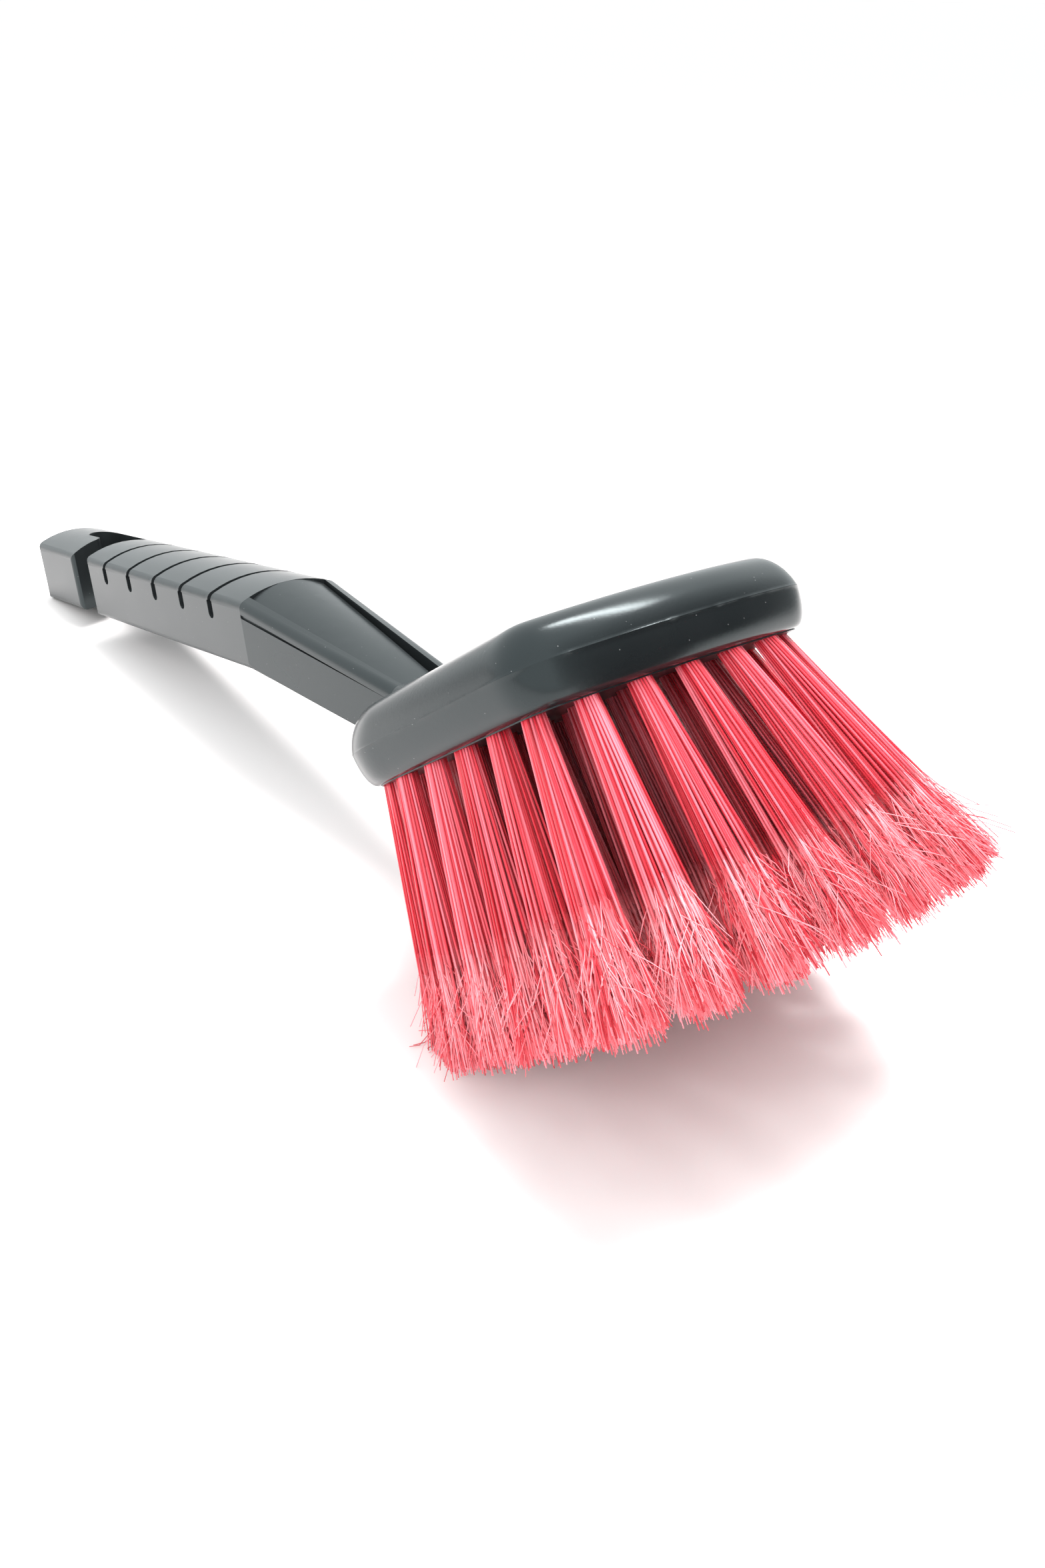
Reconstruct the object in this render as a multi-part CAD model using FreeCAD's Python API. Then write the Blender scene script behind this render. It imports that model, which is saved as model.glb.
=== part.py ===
import FreeCAD, Part
import math
import os

# Short-handled wheel brush, in millimetres. It stands as it rests on a floor:
# on the tail of the handle and on the tips of its back bristles, with +X from
# the tail to the head and +Z up. The origin is the middle of its footprint.

V = FreeCAD.Vector

# Grip: a tapered bar with flat sides and a crowned top, rising from the floor.
GRIP_RISE = 11.26
GRIP_LENGTH = 144.5
TAIL_WIDTH = 24.0
BEND_WIDTH = 26.4
TAIL_HEIGHT = 16.8
BEND_HEIGHT = 15.6
BEND_SINK = 0.5
GRIP_CROWN = 2.9
BOTTOM_RADIUS = 1.8
TOP_RADIUS = 2.2
TAIL_CORNER = 2.5

# Five grooves cross the top of the grip and run a little way down its sides.
GROOVE_COUNT = 5
GROOVE_FIRST = 57.0
GROOVE_PITCH = 17.6
GROOVE_WIDTH = 1.8
GROOVE_DEPTH = 1.1
NOTCH_WIDTH = 2.8
NOTCH_DEPTH = 2.4
NOTCH_REACH_DOWN = 5.6

# Hanging hook: the mouth is on the -Y side, and an eye runs back from it
# towards the tail, so that the tail block is the hook's finger.
SLOT_REAR = 31.4
SLOT_FRONT = 42.2
SLOT_SLANT = 3.4
EYE_REAR = 14.5
EYE_RADIUS = 4.6
EYE_Y = 3.4
EYE_FRONT_RADIUS = 3.0
FINGER_RADIUS = 1.4
MOUTH_RADIUS = 2.0

# Neck: level, tapering to the head, with a sunk panel between two side rails, and
# a channel at the foot of each rail, wider and deeper towards the head.
NECK_END_X = 199.36
NECK_END_BOTTOM = 28.8
NECK_END_WIDTH = 17.0
NECK_END_HEIGHT = 14.3
NECK_END_LEAN = 9.0
FLAT_CROWN = 0.3
RAIL_WIDTH = 3.0
RAIL_DEPTH_BEND = 2.4
RAIL_DEPTH_HEAD = 2.8
PANEL_DEPTH = 1.8
PANEL_RUN_ON = 9.0
CHANNEL_BEND = 0.3
CHANNEL_HEAD = 1.6
SIDE_STEP = 1.1
STEP_CLEAR = 5.0
UNDERCUT_BEND = 0.4
UNDERCUT_HEAD = 2.0
UNDERCUT_HEIGHT = 0.9

# Head frame: its origin is on the bumper's parting plane, its X runs forward.
HEAD_PITCH = 36.2
HEAD_X = 235.26
HEAD_Z = 54.6

# Head outline: a bulged nose, rounded corners and sides that widen backwards.
NOSE = 49.8
NOSE_RADIUS = 100.0
NOSE_HALF_ANGLE = 15.0
FRONT_CORNER = 9.0
SIDE_TAPER = 5.0
SIDE_LENGTH = 42.0
BACK_CORNER = 18.0

# Rubber bumper around the head: its outside is an oval roll, fuller above the
# parting line than below it.
BUMPER_TOP = 7.5
BUMPER_BOTTOM = 6.9
BUMPER_TOP_INSET = 7.2
BUMPER_BOTTOM_INSET = 2.9
TOP_POWER = 1.9
BOTTOM_POWER = 1.8
BUMPER_STEPS = 8
BUMPER_WALL = 3.2
BUMPER_RIM = 0.9
TONGUE_REACH = 1.1
TONGUE_HALF = 1.2
PARTING_HEIGHT = 0.12
PARTING_REACH = 0.15

# Head block inside the bumper: its shoulder slopes in under the rubber.
BLOCK_TOP = 6.4
SHOULDER = 2.4
PLATE_FACE = 7.1
ROOT_X = -12.0
ROOT_WIDTH = 22.0
ROOT_LOW = -6.6
ROOT_HIGH = 7.4
KEEP_BACK = 32.0

# Tufts: a bundle of filaments folded over a flat staple in each blind hole.
OUTER_ROW_INSET = 5.6
ROWS = (("outer", 1.0, 22, False), ("middle", 0.66, 15, True), ("inner", 0.33, 8, False))
ROW_CENTRE_X = 13.0
HOLE_RADIUS = 2.25
HOLE_DEPTH = 9.0
HOLE_RUN_OUT = 3.0
TUFT_RADIUS = 2.2
TUFT_TIP_RADIUS = 5.4
TUFT_LENGTH = 52.5
FLARE_X = 0.0067
FLARE_CENTRE_X = -6.0
FLARE_Y = 0.0064
FLARE_GROWTH = 0.0163
STAPLE_LENGTH = 6.2
STAPLE_THICKNESS = 0.4
STAPLE_HEIGHT = 1.8
BIG = 400.0
ABOVE = 50.0


def rotation(rise):
    """Turn about Y that lifts local +X by the given angle."""
    return FreeCAD.Rotation(V(0, 1, 0), -rise)


def grip_point(along, up):
    return rotation(GRIP_RISE).multVec(V(along, 0, up))


GRIP_FRAME = FreeCAD.Placement(V(0, 0, 0), rotation(GRIP_RISE))
HEAD_FRAME = FreeCAD.Placement(V(HEAD_X, 0, HEAD_Z), rotation(HEAD_PITCH))


def placed(shape, frame):
    moved = shape.copy()
    moved.Placement = frame.multiply(moved.Placement)
    return moved


def arc(start, middle, end):
    return Part.Arc(start, middle, end).toShape()


def line(start, end):
    return Part.LineSegment(start, end).toShape()


def bar_section(width, height, crown, base=0.0):
    """Closed YZ outline: flat bottom and sides, crowned top, rounded corners."""
    half = width / 2
    crown_radius = (half ** 2 + crown ** 2) / (2 * crown)
    crown_centre = base + height + crown - crown_radius
    top_y = half - TOP_RADIUS
    top_z = crown_centre + math.sqrt((crown_radius - TOP_RADIUS) ** 2 - top_y ** 2)
    lean = math.atan2(top_y, top_z - crown_centre)
    joint = V(0, crown_radius * math.sin(lean), crown_centre + crown_radius * math.cos(lean))
    swing = (math.pi / 2 + lean) / 2
    top_mid = V(0, top_y + TOP_RADIUS * math.sin(swing), top_z + TOP_RADIUS * math.cos(swing))
    low_y = half - BOTTOM_RADIUS
    low_z = base + BOTTOM_RADIUS
    diagonal = BOTTOM_RADIUS * math.sqrt(0.5)
    low_mid = V(0, low_y + diagonal, low_z - diagonal)

    def mirrored(point):
        return V(point.x, -point.y, point.z)

    edges = [
        line(V(0, -low_y, base), V(0, low_y, base)),
        arc(V(0, low_y, base), low_mid, V(0, half, low_z)),
        line(V(0, half, low_z), V(0, half, top_z)),
        arc(V(0, half, top_z), top_mid, joint),
        arc(joint, V(0, 0, base + height + crown), mirrored(joint)),
        arc(mirrored(joint), mirrored(top_mid), V(0, -half, top_z)),
        line(V(0, -half, top_z), V(0, -half, low_z)),
        arc(V(0, -half, low_z), mirrored(low_mid), V(0, -low_y, base)),
    ]
    return Part.Wire(edges)


def trough_section(width, floor, crown, top):
    """Closed YZ outline of a channel: a crowned floor and upright walls."""
    half = width / 2
    left = V(0, -half, floor)
    right = V(0, half, floor)
    edges = [
        arc(left, V(0, 0, floor + crown), right),
        line(right, V(0, half, top)),
        line(V(0, half, top), V(0, -half, top)),
        line(V(0, -half, top), left),
    ]
    return Part.Wire(edges)


def box_section(y_low, y_high, z_low, z_high):
    corners = [V(0, y_low, z_low), V(0, y_high, z_low), V(0, y_high, z_high), V(0, y_low, z_high)]
    return Part.makePolygon(corners + corners[:1])


def station(wire, point, rise):
    """Set a YZ outline up at a point of the side view, leaning with the bar."""
    return placed(wire, FreeCAD.Placement(point, rotation(rise)))


def loft(wires):
    return Part.makeLoft(wires, True, True)


def along_grip(start, end, x):
    """A measure that changes evenly from the tail to the bend."""
    return start + (end - start) * x / GRIP_LENGTH


def make_grip():
    tail = bar_section(TAIL_WIDTH, TAIL_HEIGHT, GRIP_CROWN)
    bend = bar_section(BEND_WIDTH, BEND_HEIGHT + BEND_SINK, GRIP_CROWN, -BEND_SINK)
    bend.translate(V(GRIP_LENGTH, 0, 0))
    grip = loft([tail, bend])
    for side in (-1, 1):
        grip = grip.cut(corner_tool(0, side * TAIL_WIDTH / 2, 1, -side, TAIL_CORNER))
    grip = grip.cut(slot_tool())
    for number in range(GROOVE_COUNT):
        grip = grip.cut(groove_tool(GROOVE_FIRST + number * GROOVE_PITCH))
    return placed(grip, GRIP_FRAME)


def corner_tool(x, y, toward_x, toward_y, radius):
    """Tool that rounds the upright corner at (x, y), toward the solid's inside."""
    reach = radius + 1.0
    low = V(min(x, x + toward_x * radius), min(y, y + toward_y * radius), -BIG / 2)
    block = Part.makeBox(reach, reach, BIG, low)
    if toward_x > 0:
        block.translate(V(radius - reach, 0, 0))
    if toward_y > 0:
        block.translate(V(0, radius - reach, 0))
    centre = V(x + toward_x * radius, y + toward_y * radius, -BIG / 2)
    return block.cut(Part.makeCylinder(radius, BIG, centre))


def slot_tool():
    """Mouth on the -Y side and the eye that runs back from it."""
    side = -along_grip(TAIL_WIDTH, BEND_WIDTH, SLOT_REAR) / 2
    eye_low = EYE_Y - EYE_RADIUS
    eye_high = EYE_Y + EYE_RADIUS
    outline = [
        V(SLOT_FRONT, 2 * side, 0),
        V(SLOT_FRONT, eye_high, 0),
        V(EYE_REAR + EYE_RADIUS, eye_high, 0),
        V(EYE_REAR + EYE_RADIUS, eye_low, 0),
        V(SLOT_REAR - SLOT_SLANT, eye_low, 0),
        V(SLOT_REAR, side, 0),
        V(SLOT_REAR, 2 * side, 0),
    ]
    tool = upright(outline)
    tool = tool.fuse(Part.makeCylinder(EYE_RADIUS, BIG, V(EYE_REAR + EYE_RADIUS, EYE_Y, -BIG / 2)))
    tool = tool.cut(corner_tool(SLOT_FRONT, eye_high, -1, -1, EYE_FRONT_RADIUS))
    tool = tool.fuse(corner_tool(SLOT_REAR - SLOT_SLANT, eye_low, -1, -1, FINGER_RADIUS))
    tool = tool.fuse(corner_tool(SLOT_REAR, side, -1, 1, MOUTH_RADIUS))
    return tool.fuse(corner_tool(SLOT_FRONT, side, 1, 1, MOUTH_RADIUS))


def upright(outline):
    """Tall prism on an outline of points, through the whole grip."""
    face = Part.Face(Part.makePolygon(outline + outline[:1]))
    face.translate(V(0, 0, -BIG / 2))
    return face.extrude(V(0, 0, BIG))


def notch_profile(x, width, low):
    """Side view of a groove: an upright slot with a round lower end."""
    half = width / 2
    edges = [
        arc(V(x - half, 0, low + half), V(x, 0, low), V(x + half, 0, low + half)),
        line(V(x + half, 0, low + half), V(x + half, 0, ABOVE)),
        line(V(x + half, 0, ABOVE), V(x - half, 0, ABOVE)),
        line(V(x - half, 0, ABOVE), V(x - half, 0, low + half)),
    ]
    return Part.Face(Part.Wire(edges))


def groove_tool(x):
    """One groove: shallow across the top, deeper where it runs down each side."""
    width = along_grip(TAIL_WIDTH, BEND_WIDTH, x)
    height = along_grip(TAIL_HEIGHT, BEND_HEIGHT, x)
    across = notch_profile(x, GROOVE_WIDTH, height - TOP_RADIUS).extrude(V(0, BIG, 0))
    across.translate(V(0, -BIG / 2, 0))
    core = bar_section(width - 2 * GROOVE_DEPTH, height - GROOVE_DEPTH, GRIP_CROWN)
    core.translate(V(-BIG / 2, 0, 0))
    tool = across.cut(Part.Face(core).extrude(V(BIG, 0, 0)))
    for side in (-1, 1):
        notch = notch_profile(x, NOTCH_WIDTH, height - NOTCH_REACH_DOWN).extrude(V(0, side * BIG, 0))
        notch.translate(V(0, side * (width / 2 - NOTCH_DEPTH), 0))
        above = Part.makeBox(BIG, BIG, BIG, V(-BIG / 2, -BIG / 2, height - TOP_RADIUS / 2))
        tool = tool.fuse(notch.cut(above))
    return tool


def neck_stations():
    """Where the neck's outlines stand: at the bend, at its end, in the head."""
    bend = grip_point(GRIP_LENGTH, 0)
    end = V(NECK_END_X, 0, NECK_END_BOTTOM)
    root = HEAD_FRAME.multVec(V(ROOT_X, 0, ROOT_LOW))
    return (bend, GRIP_RISE), (end, NECK_END_LEAN), (root, HEAD_PITCH)


def make_neck():
    bend, end, root = neck_stations()
    bend_outline = bar_section(BEND_WIDTH, BEND_HEIGHT + BEND_SINK, GRIP_CROWN, -BEND_SINK)
    sections = [
        station(bend_outline, *bend),
        station(bar_section(NECK_END_WIDTH, NECK_END_HEIGHT, FLAT_CROWN), *end),
        station(bar_section(ROOT_WIDTH, ROOT_HIGH - ROOT_LOW, FLAT_CROWN), *root),
    ]
    neck = loft(sections[:2]).fuse(loft(sections[1:]))
    run_on = V(PANEL_RUN_ON, 0, PANEL_RUN_ON * math.tan(math.radians(HEAD_PITCH / 2)))
    floor = NECK_END_HEIGHT - PANEL_DEPTH
    start_panel = trough_section(BEND_WIDTH - 2 * RAIL_WIDTH, BEND_HEIGHT, GRIP_CROWN, ABOVE)
    end_panel = trough_section(NECK_END_WIDTH - 2 * RAIL_WIDTH, floor, FLAT_CROWN, ABOVE)
    panel = [
        station(start_panel, *bend),
        station(end_panel, *end),
        station(end_panel, end[0] + run_on, end[1]),
    ]
    neck = neck.cut(loft(panel[:2])).cut(loft(panel[1:]))
    for side in (-1, 1):
        from_bend = channel(BEND_WIDTH, BEND_HEIGHT, CHANNEL_BEND, side)
        to_head = channel(NECK_END_WIDTH, floor, CHANNEL_HEAD, side)
        foot = [
            station(from_bend, *bend),
            station(to_head, *end),
            station(to_head, end[0] + run_on, end[1]),
        ]
        neck = neck.cut(loft(foot[:2])).cut(loft(foot[1:]))
        at_bend = side_step(BEND_WIDTH, BEND_HEIGHT - RAIL_DEPTH_BEND, 0, side)
        at_head = side_step(NECK_END_WIDTH, NECK_END_HEIGHT - RAIL_DEPTH_HEAD, SIDE_STEP, side)
        neck = neck.cut(loft([station(at_bend, *bend), station(at_head, *end)]))
        at_bend = undercut(BEND_WIDTH, BEND_HEIGHT - RAIL_DEPTH_BEND, UNDERCUT_BEND, side)
        at_head = undercut(NECK_END_WIDTH, NECK_END_HEIGHT - RAIL_DEPTH_HEAD, UNDERCUT_HEAD, side)
        neck = neck.cut(loft([station(at_bend, *bend), station(at_head, *end)]))
    return neck


def channel(width, floor, size, side):
    """Outline of the channel between the panel and a rail, as wide as it is deep."""
    wall = width / 2 - RAIL_WIDTH
    low, high = sorted((side * wall, side * (wall - size)))
    return box_section(low, high, floor - size, ABOVE)


def side_step(width, top, depth, side):
    """Outline of what is cut from a side wall, under the rail."""
    inner = width / 2 - depth
    outer = width / 2 + STEP_CLEAR
    low, high = sorted((side * inner, side * outer))
    return box_section(low, high, -STEP_CLEAR, top)


def undercut(width, top, depth, side):
    """Outline of the narrow groove right under a rail."""
    inner = width / 2 - depth
    outer = width / 2 + STEP_CLEAR
    low, high = sorted((side * inner, side * outer))
    return box_section(low, high, top - UNDERCUT_HEIGHT, top)


def head_outline(inset, height=0.0, scale=1.0):
    """Closed outline of the head, moved inward, starting at the nose."""
    nose_angle = math.radians(NOSE_HALF_ANGLE)
    side_angle = math.pi / 2 - math.radians(SIDE_TAPER)
    nose_centre = V(NOSE - NOSE_RADIUS, 0, height)
    reach = NOSE_RADIUS - FRONT_CORNER
    front_centre = nose_centre + V(reach * math.cos(nose_angle), reach * math.sin(nose_angle), 0)
    run = V(-math.sin(side_angle), math.cos(side_angle), 0) * SIDE_LENGTH
    back_shift = V(math.cos(side_angle), math.sin(side_angle), 0) * (FRONT_CORNER - BACK_CORNER)
    back_centre = front_centre + run + back_shift

    def on(centre, radius, angle):
        return centre + V(math.cos(angle), math.sin(angle), 0) * (radius - inset)

    def swept(centre, radius, start, end):
        return arc(on(centre, radius, start), on(centre, radius, (start + end) / 2), on(centre, radius, end))

    half = [
        swept(nose_centre, NOSE_RADIUS, 0, nose_angle),
        swept(front_centre, FRONT_CORNER, nose_angle, side_angle),
        line(on(front_centre, FRONT_CORNER, side_angle), on(back_centre, BACK_CORNER, side_angle)),
        swept(back_centre, BACK_CORNER, side_angle, math.pi),
        line(on(back_centre, BACK_CORNER, math.pi), V(back_centre.x - BACK_CORNER + inset, 0, height)),
    ]
    other = [edge.mirror(V(0, 0, 0), V(0, 1, 0)) for edge in half]
    wire = Part.Wire(half + [other[i] for i in (4, 3, 2, 1, 0)])
    if scale != 1.0:
        matrix = FreeCAD.Matrix()
        matrix.scale(scale, scale, 1)
        wire.translate(V(-ROW_CENTRE_X, 0, 0))
        wire = Part.Wire(wire.transformGeometry(matrix).Edges)
        wire.translate(V(ROW_CENTRE_X, 0, 0))
    return wire


def slab(inset, low, high):
    return Part.Face(head_outline(inset, low)).extrude(V(0, 0, high - low))


def make_block():
    """Head block: body with sloping shoulder, and tongue for the bumper."""
    body = slab(BUMPER_WALL, -PLATE_FACE, SHOULDER)
    top_inset = BUMPER_TOP_INSET + BUMPER_RIM
    shoulder = loft([head_outline(BUMPER_WALL, SHOULDER), head_outline(top_inset, BLOCK_TOP)])
    tongue = slab(BUMPER_WALL - TONGUE_REACH, -TONGUE_HALF, TONGUE_HALF)
    return placed(body.fuse([shoulder, tongue]), HEAD_FRAME)


def oval(step, height, inset, power):
    """Point of the bumper's rounded outside: how high, and how far in."""
    angle = step / BUMPER_STEPS * math.pi / 2
    rise = math.sin(angle) ** (2 / power)
    run = max(math.cos(angle), 0.0) ** (2 / power)
    return height * rise, inset * (1 - run)


def make_bumper(handle):
    """Rubber ring: oval outside, a fine parting ridge, open for the neck."""
    sides = ((1, BUMPER_TOP, BUMPER_TOP_INSET, TOP_POWER),
             (-1, -BUMPER_BOTTOM, BUMPER_BOTTOM_INSET, BOTTOM_POWER))
    layers = []
    for way, height, inset, power in sides:
        levels = [oval(step, height, inset, power) for step in range(BUMPER_STEPS + 1)]
        for (start, start_inset), (end, end_inset) in zip(levels, levels[1:]):
            layers.append(loft([head_outline(start_inset, start), head_outline(end_inset, end)]))
    ridge = slab(-PARTING_REACH, -PARTING_HEIGHT / 2, PARTING_HEIGHT / 2)
    ring = layers[0].fuse(layers[1:] + [ridge]).removeSplitter()
    ring = ring.cut(slab(BUMPER_WALL, -BUMPER_BOTTOM, SHOULDER))
    ring = ring.cut(slab(BUMPER_TOP_INSET + BUMPER_RIM, 0, ABOVE))
    return placed(ring, HEAD_FRAME).cut(handle)


def tuft_places():
    """Name, root point and direction of every tuft, in the head frame."""
    places = []
    for row, scale, count, staggered in ROWS:
        wire = head_outline(OUTER_ROW_INSET, 0.0, scale)
        points = wire.discretize(Number=2 * count + 1)[:-1]
        chosen = points[1::2] if staggered else points[0::2]
        for number, point in enumerate(chosen, 1):
            places.append((f"tuft_{row}_{number:02d}", point))
    places.append(("tuft_centre", V(ROW_CENTRE_X, 0, 0)))
    aimed = []
    for name, point in places:
        growth = 1 + FLARE_GROWTH * (point.x - ROW_CENTRE_X)
        direction = V(FLARE_X * (point.x - FLARE_CENTRE_X), FLARE_Y * growth * point.y, -1)
        direction.normalize()
        aimed.append((name, V(point.x, point.y, -PLATE_FACE), direction))
    return aimed


def make_tuft(root, direction):
    """Plain closed bundle: straight in its hole, then flared, with its tip on the floor or above."""
    inside = Part.makeCylinder(TUFT_RADIUS, HOLE_DEPTH, root - direction * HOLE_DEPTH, direction)
    outside = Part.makeCone(TUFT_RADIUS, TUFT_TIP_RADIUS, TUFT_LENGTH, root, direction)
    bundle = placed(inside.fuse(outside), HEAD_FRAME)
    above_floor = Part.makeBox(2 * BIG, BIG, BIG, V(-BIG / 2, -BIG / 2, 0))
    return bundle.common(above_floor)


def make_staple(root, direction):
    """Flat wire across the bottom of a hole, its two ends in the block."""
    wire = Part.makeBox(STAPLE_THICKNESS, STAPLE_LENGTH, STAPLE_HEIGHT,
                        V(-STAPLE_THICKNESS / 2, -STAPLE_LENGTH / 2, HOLE_DEPTH - STAPLE_HEIGHT))
    aim = FreeCAD.Rotation(V(0, 0, -1), direction)
    wire.Placement = FreeCAD.Placement(root, aim)
    return placed(wire, HEAD_FRAME)


def make_hole(root, direction):
    start = root - direction * HOLE_DEPTH
    hole = Part.makeCylinder(HOLE_RADIUS, HOLE_DEPTH + HOLE_RUN_OUT, start, direction)
    return placed(hole, HEAD_FRAME)


def under_head():
    """Space below the plate, where the neck must not reach."""
    box = Part.makeBox(BIG, BIG, BIG, V(-BIG / 2, -BIG / 2, -BIG - PLATE_FACE))
    keep_back = Part.makeBox(BIG, BIG, BIG, V(-BIG - KEEP_BACK, -BIG / 2, -BIG / 2))
    return placed(box.cut(keep_back), HEAD_FRAME)


def build():
    places = tuft_places()
    staples = [make_staple(root, direction) for _, root, direction in places]
    holes = [make_hole(root, direction) for _, root, direction in places]
    neck = make_neck().cut(under_head())
    handle = make_grip().fuse([neck, make_block()]).removeSplitter()
    bumper = make_bumper(handle)
    handle = handle.cut(holes).cut(staples)
    nodes = {"handle": handle, "bumper": bumper, "staples": Part.makeCompound(staples)}
    for (name, root, direction), staple in zip(places, staples):
        nodes[name] = make_tuft(root, direction).cut(staple)
    return nodes


def centre_on_footprint(nodes):
    """Move everything so that the origin is the bottom centre of the whole."""
    box = Part.makeCompound(list(nodes.values())).optimalBoundingBox(False)
    shift = V(-(box.XMin + box.XMax) / 2, -(box.YMin + box.YMax) / 2, -box.ZMin)
    for shape in nodes.values():
        shape.translate(shift)


def main():
    os.makedirs("parts", exist_ok=True)
    nodes = build()
    centre_on_footprint(nodes)
    for name, shape in nodes.items():
        print(name, len(shape.Solids), round(shape.Volume, 1), shape.isValid())
        shape.exportStep(f"parts/{name}.step")


main()
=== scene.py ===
import math
import random

import bmesh
import bpy
import numpy as np
from mathutils import Matrix, Vector


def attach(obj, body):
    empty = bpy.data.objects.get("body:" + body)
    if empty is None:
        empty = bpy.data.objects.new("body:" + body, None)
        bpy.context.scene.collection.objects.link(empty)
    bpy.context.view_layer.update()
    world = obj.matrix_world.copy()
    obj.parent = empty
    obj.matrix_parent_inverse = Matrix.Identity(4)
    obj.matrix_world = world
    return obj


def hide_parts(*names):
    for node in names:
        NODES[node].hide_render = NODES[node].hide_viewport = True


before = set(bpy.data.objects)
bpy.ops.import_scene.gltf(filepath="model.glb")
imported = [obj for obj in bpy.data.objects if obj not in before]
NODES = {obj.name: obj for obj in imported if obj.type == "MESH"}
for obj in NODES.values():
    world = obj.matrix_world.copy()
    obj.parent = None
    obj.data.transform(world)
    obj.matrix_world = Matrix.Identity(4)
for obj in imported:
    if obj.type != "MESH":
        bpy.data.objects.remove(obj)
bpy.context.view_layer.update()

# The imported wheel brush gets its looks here: filaments in place of the plain
# tufts, a smooth bumper, and moulded plastic, rubber and wire materials.
# Metres, in the same frame as the CAD: +X to the head, +Z up, floor at Z = 0.

MM = 0.001

# The head's own frame, as the part has it.
HEAD_PITCH = math.radians(36.2)
HEAD_FORWARD = np.array([math.cos(HEAD_PITCH), 0.0, math.sin(HEAD_PITCH)])
HEAD_UP = np.array([-math.sin(HEAD_PITCH), 0.0, math.cos(HEAD_PITCH)])
SIDEWAYS = np.array([0.0, 1.0, 0.0])

# Head outline and bumper roll, with the part's numbers but for a rounder lower
# half and a slight lean towards the crease. A ridge point has its height and its
# share of the ridge's reach. Wear makes that reach uneven along the roll: a random
# share, averaged over a few steps, with some higher nibs.
NOSE = 49.8 * MM
NOSE_RADIUS = 100.0 * MM
NOSE_HALF_ANGLE = math.radians(15.0)
FRONT_CORNER = 9.0 * MM
SIDE_TAPER = math.radians(5.0)
SIDE_LENGTH = 42.0 * MM
BACK_CORNER = 18.0 * MM
BUMPER_TOP = 7.5 * MM
BUMPER_BOTTOM = 6.9 * MM
BUMPER_TOP_INSET = 7.2 * MM
BUMPER_BOTTOM_INSET = 2.9 * MM
TOP_POWER = 1.9
BOTTOM_POWER = 2.05
TOP_STEPS = 18
BOTTOM_STEPS = 12
BUMPER_RIM = 0.9 * MM
BUMPER_WALL = 3.2 * MM
BLOCK_TOP = 6.4 * MM
SHOULDER = 2.4 * MM
PARTING_REACH = 0.15 * MM
PARTING_ZONE = 0.3 * MM
PARTING_RIDGE = [(-0.10 * MM, 0.0), (-0.04 * MM, 0.7), (0.04 * MM, 0.7), (0.10 * MM, 0.0)]
CREASE_LEAN_TOP = 0.17
CREASE_LEAN_LOW = 0.06
NECK_HALF = 9.2 * MM
OUTLINE_STEP = 0.8 * MM
OUTLINE_FINE = 4
OUTLINE_SOFTNESS = 1.6 * MM
LONG_ARC_POINTS = 60
SHORT_ARC_POINTS = 40
WEAR_SEED = 77
WEAR_WINDOW = 5
WEAR_SHARE = (0.0, 0.8)
NIB_COUNT = 14
NIB_SHARE = (0.5, 1.4)

# Tufts: where they leave the plate, and how they flare.
PLATE_FACE = 7.1 * MM
ROW_CENTRE_X = 13.0 * MM
FLARE_X = 6.7
FLARE_CENTRE_X = -6.0 * MM
FLARE_Y = 6.4
FLARE_GROWTH = 16.3
TUFT_RADIUS = 2.2 * MM
TUFT_TIP_RADIUS = 5.4 * MM
TUFT_LENGTH = 52.5 * MM

# Filaments: packing and scatter of one tuft, from its hole to where it splits.
FILAMENT_RADIUS = 0.218 * MM
FILAMENT_SPACING = 0.475 * MM
FILAMENT_SIDES = 6
PLACE_SCATTER = 0.015 * MM
AIM_SCATTER = 0.005
LENGTH_SCATTER = 0.009
BOW_SCATTER = 0.13 * MM
SPLIT_START = 0.66
SPLIT_SCATTER = 0.03

# Split ends: core fibres run on to the tip, side fibres cross around them, and
# strays stick out. Places are parts of the tuft's length.
FIBRE_SIDES = 4
FIBRE_CURL = 0.10
TONE_SCATTER = 0.3
TIP_SCATTER = 0.014
CORE_FIBRES = 3
CORE_RADIUS = 0.14 * MM
SIDE_FIBRES = 8
SIDE_RADIUS = 0.095 * MM
SIDE_LEAN = 17.0
SIDE_LEAN_MOST = 42.0
SIDE_START_LAST = 0.90
STRAY_SHARE = 0.08
STRAY_RADIUS = SIDE_RADIUS * 0.8
STRAY_START_LAST = 0.85
FLOOR_CLEAR = 0.25 * MM
FLOOR_SLIDE = 0.6

# Camera, at the height and angle of the view, in the part's frame.
CAMERA_PLACE = (0.2693, -0.1514, 0.1706)
CAMERA_HEADING = math.radians(-37.65)
CAMERA_TILT = math.radians(29.03)
CAMERA_ROLL = math.radians(0.87)
CAMERA_LENS = 32.87
CAMERA_SENSOR = 36.0

# Studio: its bright and its dim side, where the dim side lies, and the floor.
STUDIO_BRIGHT = 1.46
STUDIO_DIM = 0.10
STUDIO_COLOUR = (0.95, 1.0, 1.01, 1.0)
DIM_DIRECTION = (0.63, 0.65, 0.42)
DIM_EDGE = 0.60
DIM_CORE = 0.90
FLOOR_HALF = 60.0

# Area lights: place, size, power in watts, and whether gloss shows them.
LIGHT_TARGET = (0.08, 0.0, 0.03)
AREA_LIGHTS = {
    "softbox_top": ((0.0, 0.25, 0.9), (0.6, 0.4), 12.5, False),
    "softbox_front": ((0.62, -0.75, 0.75), (0.5, 0.5), 5.0, False),
    "strip_back": ((-0.15, 0.38, 0.82), (0.36, 0.10), 3.2, True),
}

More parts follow.
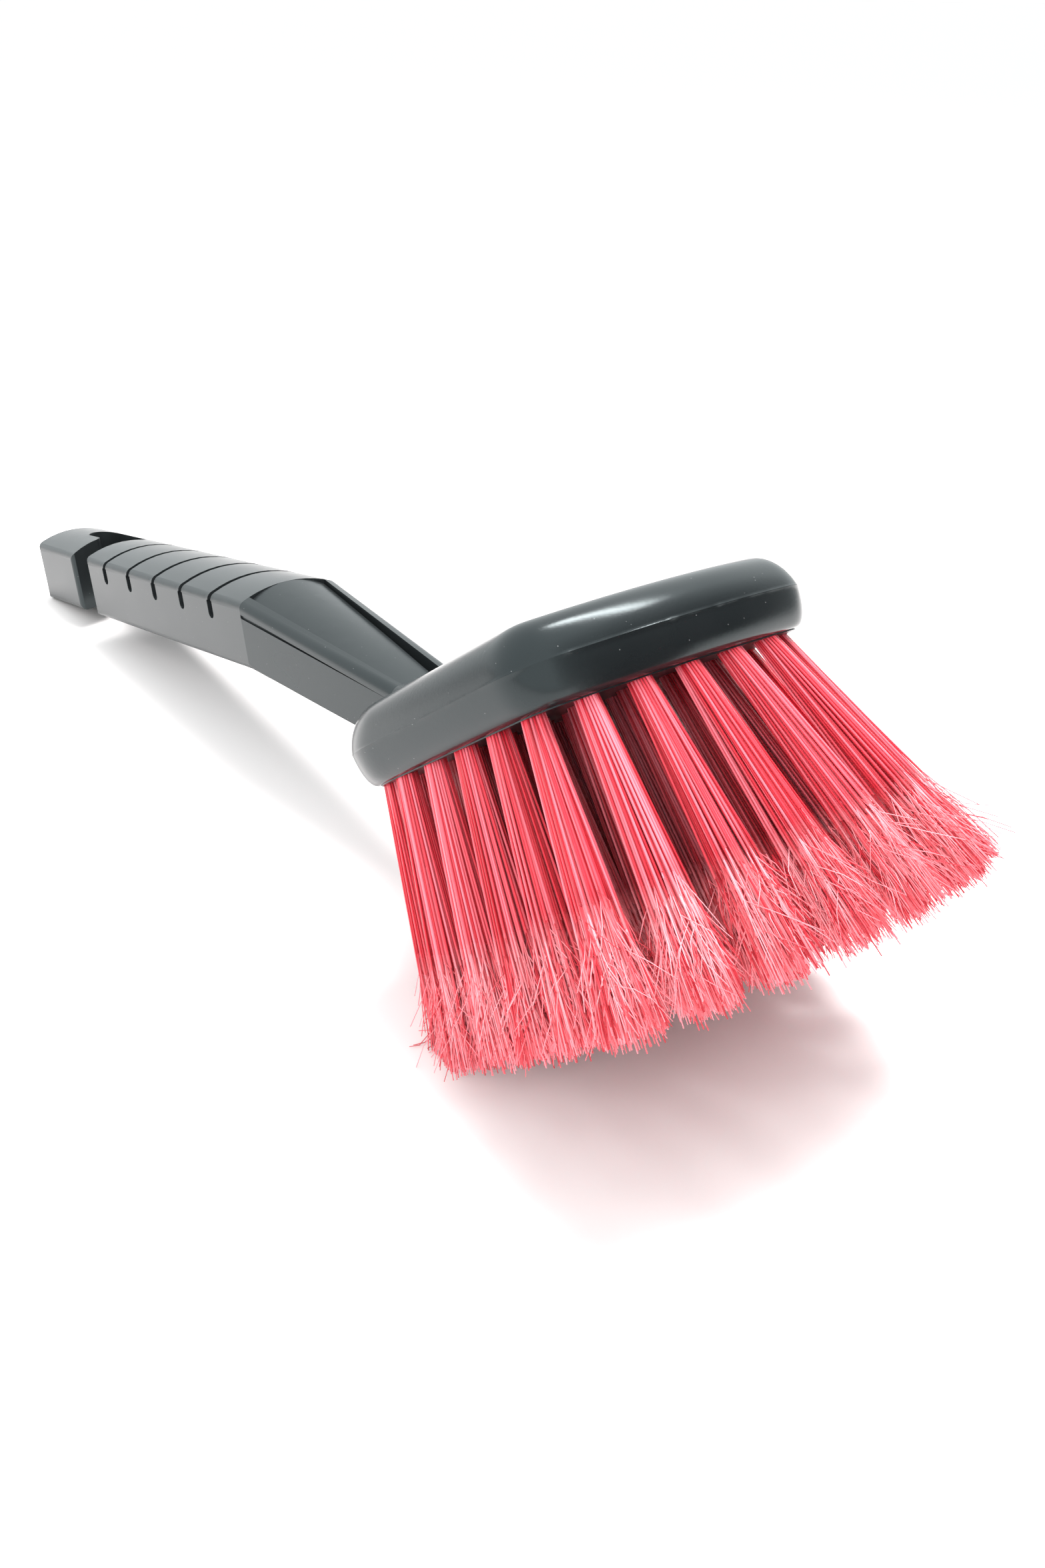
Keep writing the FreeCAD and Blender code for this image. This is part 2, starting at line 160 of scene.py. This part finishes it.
# Black flag: a card that lies on the floor ahead of the head and then stands up.
FLAG_AZIMUTH = 25.0
FLAG_HALF_ANGLE = 15.0
FLAG_START = 0.08
FLAG_REACH = 0.45
FLAG_HEIGHT = 0.30
FLAG_LIFT = 0.001

# Looks of the two black materials, each with slow patches and a fine grain.
HANDLE_LOOK = {
    "patches": (38.0, 3.0),
    "grain": (2600.0, 3.0),
    "dark": (0.012, 0.014, 0.015),
    "pale": (0.018, 0.020, 0.021),
    "roughness": (0.26, 0.33),
    "relief": (0.12, 0.00006),
}
BUMPER_LOOK = {
    "patches": (60.0, 2.0),
    "grain": (1500.0, 4.0),
    "dark": (0.009, 0.011, 0.012),
    "pale": (0.013, 0.015, 0.016),
    "roughness": (0.17, 0.21),
    "relief": (0.25, 0.00005),
}
DUST_SCALE = 520.0
DUST_COLOUR = (0.22, 0.22, 0.22, 1.0)
COOL_GLOSS = (0.84, 0.98, 1.0, 1.0)
GLOSS_LEVEL = 0.45

# Filament colours from the darkest strand to the palest, on the shaft and at the split tips, and how
# much of the shaft's colour the inner rows keep: painted shade that darkens the gaps between the
# bundles.
SHAFT_TONES = [(0.0, (0.38, 0.005, 0.015)), (0.20, (0.66, 0.022, 0.042)),
               (0.55, (0.87, 0.076, 0.108)), (1.0, (1.00, 0.22, 0.28))]
TIP_TONES = [(0.0, (0.66, 0.035, 0.055)), (0.4, (1.00, 0.21, 0.245)), (1.0, (1.00, 0.38, 0.42))]
TIP_FADE = [(0.60, (0.0,) * 3), (0.70, (1.0,) * 3), (0.88, (1.0,) * 3), (1.0, (0.55,) * 3)]
INNER_PAINTED_SHADE = 0.55


def add_object(name, data):
    """A new object in the scene."""
    added = bpy.data.objects.new(name, data)
    bpy.context.scene.collection.objects.link(added)
    return added


# ---------------------------------------------------------------- materials

def new_material(name):
    material = bpy.data.materials.new(name)
    material.use_nodes = True
    nodes = material.node_tree.nodes
    return material, nodes, material.node_tree.links, nodes["Principled BSDF"]


def noise(nodes, links, scale, detail, roughness, vector):
    node = nodes.new("ShaderNodeTexNoise")
    node.inputs["Scale"].default_value = scale
    node.inputs["Detail"].default_value = detail
    node.inputs["Roughness"].default_value = roughness
    links.new(vector, node.inputs["Vector"])
    return node.outputs["Fac"]


def ramp(nodes, links, value, stops):
    node = nodes.new("ShaderNodeValToRGB")
    points = node.color_ramp.elements
    while len(points) < len(stops):
        points.new(0.5)
    for point, (position, colour) in zip(points, stops):
        point.position = position
        point.color = (*colour, 1.0)
    links.new(value, node.inputs["Fac"])
    return node.outputs["Color"]


def spread(nodes, links, value, low, high, out_low, out_high):
    node = nodes.new("ShaderNodeMapRange")
    node.inputs["From Min"].default_value = low
    node.inputs["From Max"].default_value = high
    node.inputs["To Min"].default_value = out_low
    node.inputs["To Max"].default_value = out_high
    links.new(value, node.inputs["Value"])
    return node.outputs["Result"]


def bump(nodes, links, height, strength, distance):
    node = nodes.new("ShaderNodeBump")
    node.inputs["Strength"].default_value = strength
    node.inputs["Distance"].default_value = distance
    links.new(height, node.inputs["Height"])
    return node.outputs["Normal"]


def place(nodes):
    return nodes.new("ShaderNodeTexCoord").outputs["Object"]


def with_dust(nodes, links, where, colour):
    """Sparse pale specks over a colour."""
    cells = nodes.new("ShaderNodeTexVoronoi")
    cells.inputs["Scale"].default_value = DUST_SCALE
    links.new(where, cells.inputs["Vector"])
    speck = spread(nodes, links, cells.outputs["Distance"], 0.03, 0.05, 1.0, 0.0)
    mix = nodes.new("ShaderNodeMix")
    mix.data_type = "RGBA"
    links.new(speck, mix.inputs["Factor"])
    links.new(colour, mix.inputs["A"])
    mix.inputs["B"].default_value = DUST_COLOUR
    return mix.outputs["Result"]


def black_material(name, look):
    """Moulded black plastic or rubber: slow patches, fine grain and a few specks of dust."""
    material, nodes, links, shader = new_material(name)
    where = place(nodes)
    patches = noise(nodes, links, *look["patches"], 0.5, where)
    grain = noise(nodes, links, *look["grain"], 0.6, where)
    colour = ramp(nodes, links, patches, [(0.2, look["dark"]), (0.8, look["pale"])])
    links.new(with_dust(nodes, links, where, colour), shader.inputs["Base Color"])
    roughness = spread(nodes, links, patches, 0.2, 0.8, *look["roughness"])
    links.new(roughness, shader.inputs["Roughness"])
    links.new(bump(nodes, links, grain, *look["relief"]), shader.inputs["Normal"])
    shader.inputs["Specular Tint"].default_value = COOL_GLOSS
    shader.inputs["Specular IOR Level"].default_value = GLOSS_LEVEL
    return material


def bristle_plastic(name, shade):
    """Red filaments: deep and glossy along the shaft, pale and dull at the split tips; shade darkens the
    shaft's tones as painted shade.
    """
    material, nodes, links, shader = new_material(name)
    along = nodes.new("ShaderNodeAttribute")
    along.attribute_name = "along"
    strand = nodes.new("ShaderNodeAttribute")
    strand.attribute_name = "strand"
    shaft_tones = [(part, tuple(channel * shade for channel in tone)) for part, tone in SHAFT_TONES]
    shaft = ramp(nodes, links, strand.outputs["Fac"], shaft_tones)
    tips = ramp(nodes, links, strand.outputs["Fac"], TIP_TONES)
    mix = nodes.new("ShaderNodeMix")
    mix.data_type = "RGBA"
    fade = ramp(nodes, links, along.outputs["Fac"], TIP_FADE)
    links.new(fade, mix.inputs["Factor"])
    links.new(shaft, mix.inputs["A"])
    links.new(tips, mix.inputs["B"])
    links.new(mix.outputs["Result"], shader.inputs["Base Color"])
    roughness = spread(nodes, links, along.outputs["Fac"], 0.60, 0.72, 0.22, 0.60)
    links.new(roughness, shader.inputs["Roughness"])
    shader.inputs["Sheen Weight"].default_value = 0.1
    shader.inputs["Sheen Roughness"].default_value = 0.4
    return material


def staple_wire():
    """Bright drawn wire, a little uneven."""
    material, nodes, links, shader = new_material("staple_wire")
    shader.inputs["Metallic"].default_value = 1.0
    patches = noise(nodes, links, 500.0, 3.0, 0.5, place(nodes))
    colour = ramp(nodes, links, patches, [(0.3, (0.50, 0.50, 0.51)), (0.7, (0.62, 0.62, 0.63))])
    links.new(colour, shader.inputs["Base Color"])
    shader.inputs["Roughness"].default_value = 0.3
    return material


def floor_paper():
    """Plain pale matt paper."""
    material, _, _, shader = new_material("floor_paper")
    shader.inputs["Base Color"].default_value = (0.86, 0.82, 0.812, 1.0)
    shader.inputs["Roughness"].default_value = 0.9
    return material


# ---------------------------------------------------------------- tufts

def node_points(node):
    """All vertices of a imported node, one row each."""
    mesh = NODES[node].data
    points = np.empty(len(mesh.vertices) * 3)
    mesh.vertices.foreach_get("co", points)
    return points.reshape(-1, 3)


def head_origin():
    """Where the head's frame has its origin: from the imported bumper."""
    points = node_points("bumper")
    forward = (points @ HEAD_FORWARD).max() - NOSE - PARTING_REACH
    up = (points @ HEAD_UP).max() - BUMPER_TOP
    return HEAD_FORWARD * forward + HEAD_UP * up


def from_head(x, y, height):
    """Points given in the head's frame, in the part's."""
    return (HEAD_ORIGIN + np.multiply.outer(x, HEAD_FORWARD) + np.multiply.outer(y, SIDEWAYS)
            + np.multiply.outer(height, HEAD_UP))


def tuft_axis(node):
    """Root point and direction of a packed tuft, from its ring at the plate."""
    points = node_points(node) - HEAD_ORIGIN
    ring = points[np.abs(points @ HEAD_UP + PLATE_FACE) < 0.95 * MM]
    forward = ring @ HEAD_FORWARD
    side = ring @ SIDEWAYS
    x = (forward.min() + forward.max()) / 2
    y = (side.min() + side.max()) / 2
    growth = 1 + FLARE_GROWTH * (x - ROW_CENTRE_X)
    direction = HEAD_FORWARD * FLARE_X * (x - FLARE_CENTRE_X) + SIDEWAYS * FLARE_Y * growth * y - HEAD_UP
    return from_head(x, y, -PLATE_FACE), direction / np.linalg.norm(direction)


def disc_places(radius, spacing, draw):
    """Hexagonal packing of a disc, each place a little off."""
    places = []
    steps = int(radius / spacing) + 2
    for row in range(-steps, steps + 1):
        for column in range(-steps, steps + 1):
            x = (column + (row % 2) / 2) * spacing
            y = row * spacing * math.sqrt(3) / 2
            if math.hypot(x, y) <= radius:
                places.append((x + draw.gauss(0, PLACE_SCATTER), y + draw.gauss(0, PLACE_SCATTER)))
    return places


def tube_pattern(rings, sides):
    """Faces of a tube of that many rings, closed at both ends."""
    faces = []
    for ring in range(rings - 1):
        for side in range(sides):
            after = (side + 1) % sides
            faces.append((ring * sides + side, ring * sides + after,
                          (ring + 1) * sides + after, (ring + 1) * sides + side))
    faces.append(tuple(reversed(range(sides))))
    faces.append(tuple((rings - 1) * sides + side for side in range(sides)))
    return faces


class Strands:
    """Collects tubes into one mesh, with where along the bristle each vertex is."""

    def __init__(self):
        self.vertices = []
        self.faces = []
        self.along = []
        self.strand = []
        self.count = 0

    def tube(self, line, radii, sides, along, strand):
        """Adds a tube along a line of points, with a radius and a place along at each."""
        line = np.asarray(line)
        tangent = np.gradient(line, axis=0)
        tangent /= np.linalg.norm(tangent, axis=1)[:, None]
        first = np.cross(tangent, SIDEWAYS + 0.01 * HEAD_FORWARD)
        first /= np.linalg.norm(first, axis=1)[:, None]
        second = np.cross(tangent, first)
        angles = np.arange(sides) * 2 * math.pi / sides
        circle = (first[:, None, :] * np.cos(angles)[None, :, None]
                  + second[:, None, :] * np.sin(angles)[None, :, None])
        rings = line[:, None, :] + circle * np.asarray(radii)[:, None, None]
        self.vertices.append(rings.reshape(-1, 3))
        for face in tube_pattern(len(line), sides):
            self.faces.append(tuple(self.count + index for index in face))
        self.along.append(np.repeat(along, sides))
        self.strand.append(np.full(len(line) * sides, strand))
        self.count += len(line) * sides

    def mesh(self, name):
        """Everything added so far, as one smooth mesh."""
        mesh = bpy.data.meshes.new(name)
        mesh.from_pydata(np.concatenate(self.vertices).tolist(), [], self.faces)
        for label, values in (("along", self.along), ("strand", self.strand)):
            attribute = mesh.attributes.new(label, "FLOAT", "POINT")
            attribute.data.foreach_set("value", np.concatenate(values))
        mesh.shade_smooth()
        return mesh


def rest_on_floor(line):
    """Bends what would pass through the floor backwards along it."""
    line = np.array(line)
    for index, point in enumerate(line):
        below = FLOOR_CLEAR * (1 + index / len(line)) - point[2]
        if below > 0:
            line[index] = (point[0] - below * FLOOR_SLIDE, point[1], point[2] + below)
    return line


def make_bristles(node, material, seed):
    """The filaments of one tuft, their ends reaching into the hole, and split tips."""
    draw = random.Random(seed)
    root, direction = tuft_axis(node)
    across = np.cross(direction, SIDEWAYS)
    across /= np.linalg.norm(across)
    other = np.cross(direction, across)
    strands = Strands()
    fan_rate = (TUFT_TIP_RADIUS / TUFT_RADIUS - 1) / TUFT_LENGTH
    for x, y in disc_places(TUFT_RADIUS - FILAMENT_RADIUS, FILAMENT_SPACING, draw):
        offset = across * x + other * y
        start = root + offset
        wander = across * draw.gauss(0, AIM_SCATTER) + other * draw.gauss(0, AIM_SCATTER)
        aim = direction + offset * fan_rate + wander
        reach = TUFT_LENGTH * (1 + draw.gauss(0, LENGTH_SCATTER))
        bow = (across * draw.gauss(0, 1) + other * draw.gauss(0, 1)) * BOW_SCATTER
        tone = draw.random()
        split = SPLIT_START + draw.gauss(0, SPLIT_SCATTER)

        def point(part):
            return start + aim * (reach * part) + bow * math.sin(math.pi * part)

        parts = [-0.05, 0.0, 0.2, 0.4, split * 0.85, split]
        shaft = rest_on_floor([point(part) for part in parts])
        strands.tube(shaft, [FILAMENT_RADIUS] * len(parts), FILAMENT_SIDES, parts, tone)
        add_split_tip(strands, point, split, reach, across, other, tone, draw)
    piece = add_object(node.replace("tuft", "bristles"), strands.mesh(node))
    piece.data.materials.append(material)
    return piece


def add_split_tip(strands, point, split, reach, across, other, tone, draw):
    """The frayed end: the filament splits in three, with short fibres crossing around it."""

    def fibre(start, end, away, steps, radius):
        turn = draw.uniform(0, 2 * math.pi)
        side = across * math.cos(turn) + other * math.sin(turn)
        curl = (across * draw.gauss(0, 1) + other * draw.gauss(0, 1)) * away * FIBRE_CURL
        line = []
        for step in steps:
            ahead = point(start + (end - start) * step)
            out = side * (FILAMENT_RADIUS * 0.4 + away * step)
            line.append(ahead + out + curl * math.sin(math.pi * step))
        along = [start + (end - start) * step for step in steps]
        radii = [radius * (1 - 0.2 * step) for step in steps]
        shade = min(1.0, max(0.0, tone + draw.gauss(0, TONE_SCATTER)))
        strands.tube(rest_on_floor(line), radii, FIBRE_SIDES, along, shade)

    for _ in range(CORE_FIBRES):
        end = 1.0 + draw.gauss(0, TIP_SCATTER)
        away = abs(draw.gauss(0.5, 0.5)) * MM
        fibre(split - 0.004, end, away, (0.0, 0.3, 0.65, 1.0), CORE_RADIUS)
    for _ in range(SIDE_FIBRES):
        start = draw.uniform(split - 0.01, SIDE_START_LAST)
        end = min(start + draw.uniform(4.0, 10.0) * MM / reach, 1.0 + draw.gauss(0, TIP_SCATTER))
        lean = math.tan(math.radians(min(abs(draw.gauss(0, SIDE_LEAN)), SIDE_LEAN_MOST)))
        fibre(start, end, lean * (end - start) * reach, (0.0, 0.5, 1.0), SIDE_RADIUS)
    if draw.random() < STRAY_SHARE:
        start = draw.uniform(split, STRAY_START_LAST)
        end = start + draw.uniform(4.0, 11.0) * MM / reach
        fibre(start, min(end, 1.0), draw.uniform(4.0, 9.0) * MM, (0.0, 0.5, 1.0), STRAY_RADIUS)


# ---------------------------------------------------------------- bumper

def arc_points(centre, radius, start, end, count):
    """Points on an arc, both ends included."""
    angles = np.linspace(start, end, count)
    return centre + radius * np.stack([np.cos(angles), np.sin(angles)], 1)


def smooth_outline():
    """Head outline from the neck's one side round to its other, evenly spaced and eased."""
    side_angle = math.pi / 2 - SIDE_TAPER
    nose_centre = np.array([NOSE - NOSE_RADIUS, 0.0])
    reach = NOSE_RADIUS - FRONT_CORNER
    front = nose_centre + reach * np.array([math.cos(NOSE_HALF_ANGLE), math.sin(NOSE_HALF_ANGLE)])
    run = np.array([-math.sin(side_angle), math.cos(side_angle)]) * SIDE_LENGTH
    shift = np.array([math.cos(side_angle), math.sin(side_angle)]) * (FRONT_CORNER - BACK_CORNER)
    back = front + run + shift
    half = np.concatenate([
        arc_points(nose_centre, NOSE_RADIUS, 0.0, NOSE_HALF_ANGLE, LONG_ARC_POINTS),
        arc_points(front, FRONT_CORNER, NOSE_HALF_ANGLE, side_angle, SHORT_ARC_POINTS)[1:],
        arc_points(back, BACK_CORNER, side_angle, math.pi, LONG_ARC_POINTS),
        [[back[0] - BACK_CORNER, 0.0]],
    ])
    whole = np.concatenate([half[::-1] * [1, -1], half[1:]])
    lengths = np.concatenate([[0], np.cumsum(np.linalg.norm(np.diff(whole, axis=0), axis=1))])
    step = OUTLINE_STEP / OUTLINE_FINE
    count = int(lengths[-1] / step)
    even = np.linspace(0, lengths[-1], count)
    line = np.stack([np.interp(even, lengths, whole[:, axis]) for axis in (0, 1)], 1)
    window = int(3 * OUTLINE_SOFTNESS / step)
    weights = np.exp(-0.5 * (np.arange(-window, window + 1) * step / OUTLINE_SOFTNESS) ** 2)
    weights /= weights.sum()
    padded = np.concatenate([line[-window - 1:-1], line, line[1:window + 1]])
    eased = np.stack([np.convolve(padded[:, axis], weights, "valid") for axis in (0, 1)], 1)
    tangent = np.gradient(eased, axis=0)
    tangent /= np.linalg.norm(tangent, axis=1)[:, None]
    outward = np.stack([tangent[:, 1], -tangent[:, 0]], 1)
    keep = np.abs(eased[:, 1]) > NECK_HALF
    keep |= eased[:, 0] > 0
    return eased[keep][::OUTLINE_FINE], outward[keep][::OUTLINE_FINE]


def roll_profile():
    """Bumper cross-section as height, inset and ridge share, closed, from the plate's edge."""
    outside = []
    for number in range(BOTTOM_STEPS, 0, -1):
        point = roll_point(number / BOTTOM_STEPS, -BUMPER_BOTTOM, BUMPER_BOTTOM_INSET, BOTTOM_POWER)
        if point[0] < -PARTING_ZONE:
            outside.append(point)
    outside += [(height, 0.0, share) for height, share in PARTING_RIDGE]
    for number in range(1, TOP_STEPS + 1):
        point = roll_point(number / TOP_STEPS, BUMPER_TOP, BUMPER_TOP_INSET, TOP_POWER)
        if point[0] > PARTING_ZONE:
            outside.append(point)
    rim = BUMPER_TOP_INSET + BUMPER_RIM
    inside = [
        (BUMPER_TOP - 0.05 * MM, rim - 0.35 * MM, 0.0),
        (BUMPER_TOP - 0.3 * MM, rim - 0.08 * MM, 0.0),
        (BLOCK_TOP - 0.2 * MM, rim, 0.0),
        (SHOULDER, BUMPER_WALL, 0.0),
        (-BUMPER_BOTTOM, BUMPER_WALL, 0.0),
    ]
    return np.array(outside + inside)


def roll_point(share, height, inset, power):
    """A point of the roll's outside, from its widest line (0) to its edge (1)."""
    angle = share * math.pi / 2
    rise = math.sin(angle) ** (2 / power)
    run = max(math.cos(angle), 0.0) ** (2 / power)
    lean = (CREASE_LEAN_TOP if height > 0 else CREASE_LEAN_LOW) * abs(height) * rise * (1 - rise)
    return height * rise, inset * (1 - run) + lean, 0.0


def make_bumper(material):
    """Soft rubber roll round the head, with its worn parting ridge."""
    draw = random.Random(WEAR_SEED)
    line, outward = smooth_outline()
    profile = roll_profile()
    count = len(line)
    rough = [draw.uniform(*WEAR_SHARE) for _ in range(count + WEAR_WINDOW - 1)]
    wear = np.convolve(rough, np.ones(WEAR_WINDOW) / WEAR_WINDOW, "valid")
    for _ in range(NIB_COUNT):
        wear[draw.randrange(count)] += draw.uniform(*NIB_SHARE)
    height = np.broadcast_to(profile[:, 0], (count, len(profile)))
    reach = profile[None, :, 2] * PARTING_REACH * wear[:, None] - profile[None, :, 1]
    flat = line[:, None, :] + outward[:, None, :] * reach[:, :, None]
    points = from_head(flat[..., 0], flat[..., 1], height)
    mesh = bpy.data.meshes.new("rubber_bumper")
    mesh.from_pydata(points.reshape(-1, 3).tolist(), [], tube_pattern(count, len(profile)))
    shell = bmesh.new()
    shell.from_mesh(mesh)
    bmesh.ops.recalc_face_normals(shell, faces=shell.faces)
    shell.to_mesh(mesh)
    shell.free()
    mesh.shade_smooth()
    mesh.materials.append(material)
    piece = add_object("rubber_bumper", mesh)
    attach(piece, "root")
    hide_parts("bumper")


# ---------------------------------------------------------------- scene

def dress_cad_nodes():
    """Materials for the nodes that keep their CAD shape."""
    looks = {"handle": black_material("handle_plastic", HANDLE_LOOK), "staples": staple_wire()}
    for name, material in looks.items():
        node = NODES[name]
        node.data.materials.clear()
        node.data.materials.append(material)


def dress_tufts():
    """Filaments in place of every tuft."""
    # The inner rows get a darker copy of the same filament colour: painted shade between the bundles.
    outer = bristle_plastic("bristle_plastic_outer", 1.0)
    inner = bristle_plastic("bristle_plastic_inner_painted_shade", INNER_PAINTED_SHADE)
    names = sorted(name for name in NODES if name.startswith("tuft_"))
    for seed, name in enumerate(names, 1):
        material = outer if name.startswith("tuft_outer") else inner
        piece = make_bristles(name, material, seed)
        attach(piece, "root")
        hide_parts(name)


def make_floor():
    """Floor that the brush lies on."""
    mesh = bpy.data.meshes.new("floor")
    corners = [(x * FLOOR_HALF, y * FLOOR_HALF, 0) for x, y in ((-1, -1), (1, -1), (1, 1), (-1, 1))]
    mesh.from_pydata(corners, [], [(0, 1, 2, 3)])
    mesh.materials.append(floor_paper())
    add_object("floor", mesh)


def make_flag():
    """Black card that the nose of the bumper reflects: no camera sees it, and it casts no shadow."""
    turn = math.radians(FLAG_AZIMUTH)
    away = np.array([math.cos(turn), math.sin(turn), 0.0])
    along = np.array([-math.sin(turn), math.cos(turn), 0.0])
    foot = np.array([HEAD_ORIGIN[0] + NOSE, 0.0, FLAG_LIFT])
    rows = [(FLAG_START, 0.0), (FLAG_REACH, 0.0), (FLAG_REACH, FLAG_HEIGHT)]
    corners = []
    for reach, height in rows:
        middle = foot + away * reach + np.array([0.0, 0.0, height])
        half = along * reach * math.tan(math.radians(FLAG_HALF_ANGLE))
        corners += [middle - half, middle + half]
    mesh = bpy.data.meshes.new("flag")
    mesh.from_pydata([tuple(corner) for corner in corners], [], [(0, 1, 3, 2), (2, 3, 5, 4)])
    material, _, _, shader = new_material("flag_card")
    shader.inputs["Base Color"].default_value = (0.01, 0.01, 0.01, 1.0)
    shader.inputs["Roughness"].default_value = 1.0
    shader.inputs["Specular IOR Level"].default_value = 0.0
    mesh.materials.append(material)
    flag = add_object("flag", mesh)
    flag.visible_camera = False
    flag.visible_diffuse = False
    flag.visible_shadow = False
    flag.visible_transmission = False


def add_area_light(name, location, size, energy, in_gloss):
    """Rectangular light, aimed at the target."""
    data = bpy.data.lights.new(name, "AREA")
    data.shape = "RECTANGLE"
    data.size, data.size_y = size
    data.energy = energy
    light = add_object(name, data)
    light.location = location
    light.rotation_euler = (Vector(LIGHT_TARGET) - Vector(location)).to_track_quat("-Z", "Y").to_euler()
    light.visible_glossy = in_gloss


def make_light():
    """Bright studio: pale all round, dim on one side, with large soft lights."""
    scene = bpy.context.scene
    scene.view_settings.view_transform = "Standard"
    world = bpy.data.worlds.new("studio")
    world.use_nodes = True
    nodes = world.node_tree.nodes
    links = world.node_tree.links
    towards = nodes.new("ShaderNodeVectorMath")
    towards.operation = "DOT_PRODUCT"
    links.new(nodes.new("ShaderNodeTexCoord").outputs["Generated"], towards.inputs[0])
    towards.inputs[1].default_value = Vector(DIM_DIRECTION).normalized()
    strength = spread(nodes, links, towards.outputs["Value"],
                      DIM_EDGE, DIM_CORE, STUDIO_BRIGHT, STUDIO_DIM)
    background = nodes["Background"]
    background.inputs["Color"].default_value = STUDIO_COLOUR
    links.new(strength, background.inputs["Strength"])
    scene.world = world
    for name, (location, size, energy, in_gloss) in AREA_LIGHTS.items():
        add_area_light(name, location, size, energy, in_gloss)


def make_camera():
    """Camera from its place, heading, downward tilt and roll."""
    data = bpy.data.cameras.new("camera")
    data.lens = CAMERA_LENS
    data.sensor_width = CAMERA_SENSOR
    data.clip_start = 0.01
    data.clip_end = 50.0
    camera = add_object("camera", data)
    look = Vector((-math.cos(CAMERA_HEADING) * math.cos(CAMERA_TILT),
                   -math.sin(CAMERA_HEADING) * math.cos(CAMERA_TILT),
                   -math.sin(CAMERA_TILT)))
    right = Vector((-math.sin(CAMERA_HEADING), math.cos(CAMERA_HEADING), 0.0))
    up = right.cross(look)
    rolled_right = right * math.cos(CAMERA_ROLL) + up * math.sin(CAMERA_ROLL)
    rolled_up = up * math.cos(CAMERA_ROLL) - right * math.sin(CAMERA_ROLL)
    turn = Matrix((rolled_right, rolled_up, -look)).transposed().to_4x4()
    camera.matrix_world = Matrix.Translation(CAMERA_PLACE) @ turn
    bpy.context.scene.camera = camera


def write_sizes():
    """Brings the scene's transforms up to date."""
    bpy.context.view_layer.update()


HEAD_ORIGIN = head_origin()
make_camera()
make_light()
make_floor()
make_flag()
dress_cad_nodes()
make_bumper(black_material("bumper_rubber", BUMPER_LOOK))
dress_tufts()
write_sizes()
